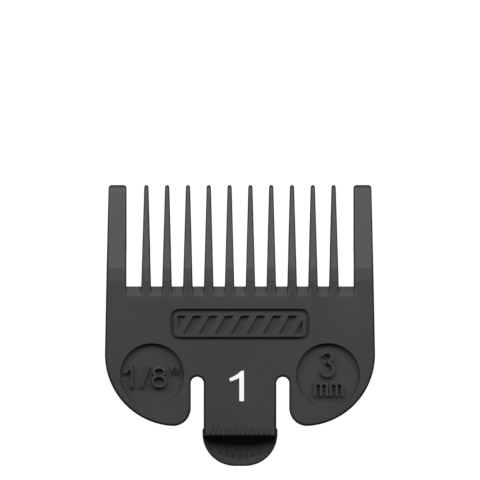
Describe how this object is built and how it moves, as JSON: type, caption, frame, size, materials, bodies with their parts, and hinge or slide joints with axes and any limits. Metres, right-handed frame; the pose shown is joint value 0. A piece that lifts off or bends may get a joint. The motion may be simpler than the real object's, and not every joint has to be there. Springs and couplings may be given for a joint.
{
  "type": "clipper guard comb",
  "caption": "Clip-on guard comb for a hair clipper: flat plate with tapering teeth, side rails for the blade and a flexing release tab with a catch and finger lip.",
  "frame": {"origin": "centre of the bounding box in X and Y, at the height of the side rails' feet", "axes": "+Y towards the tooth tips, +Z towards the skin side, +X to the right when the teeth point up and the skin side faces the viewer"},
  "size_m": [0.0492, 0.0514, 0.0078],
  "materials": {
    "nylon": "black moulded nylon with a fine spark-eroded grain",
    "ink": "white pad-printed ink"
  },
  "bodies": {
    "comb": {"base_plate": "nylon", "outer_tooth_left": "nylon", "outer_tooth_right": "nylon", "tooth_01": "nylon", "tooth_02": "nylon", "tooth_03": "nylon", "tooth_04": "nylon", "tooth_05": "nylon", "tooth_06": "nylon", "tooth_07": "nylon", "tooth_08": "nylon", "tooth_09": "nylon", "tooth_10": "nylon", "front_hook_left": "nylon", "front_hook_right": "nylon", "side_rail_left": "nylon", "side_rail_right": "nylon", "wing_flange_left": "nylon", "wing_flange_right": "nylon", "size_mark_inch": "nylon", "size_mark_metric": "nylon", "flexing_web": "nylon", "size_numeral": "ink"},
    "release_lever": {"release_arm": "nylon", "heel_catch": "nylon", "finger_lip": "nylon", "release_ribs": "nylon", "grip_ribs": "nylon"}
  },
  "joints": [
    {"name": "release_flex", "type": "hinge", "parent": "comb", "child": "release_lever", "pos_m": [0, -0.01225, 0.007], "axis": [-1, 0, 0], "range_deg": [0, 10], "stiffness_Nm_per_rad": 1, "deforming": ["flexing_web", "size_numeral"]}
  ]
}
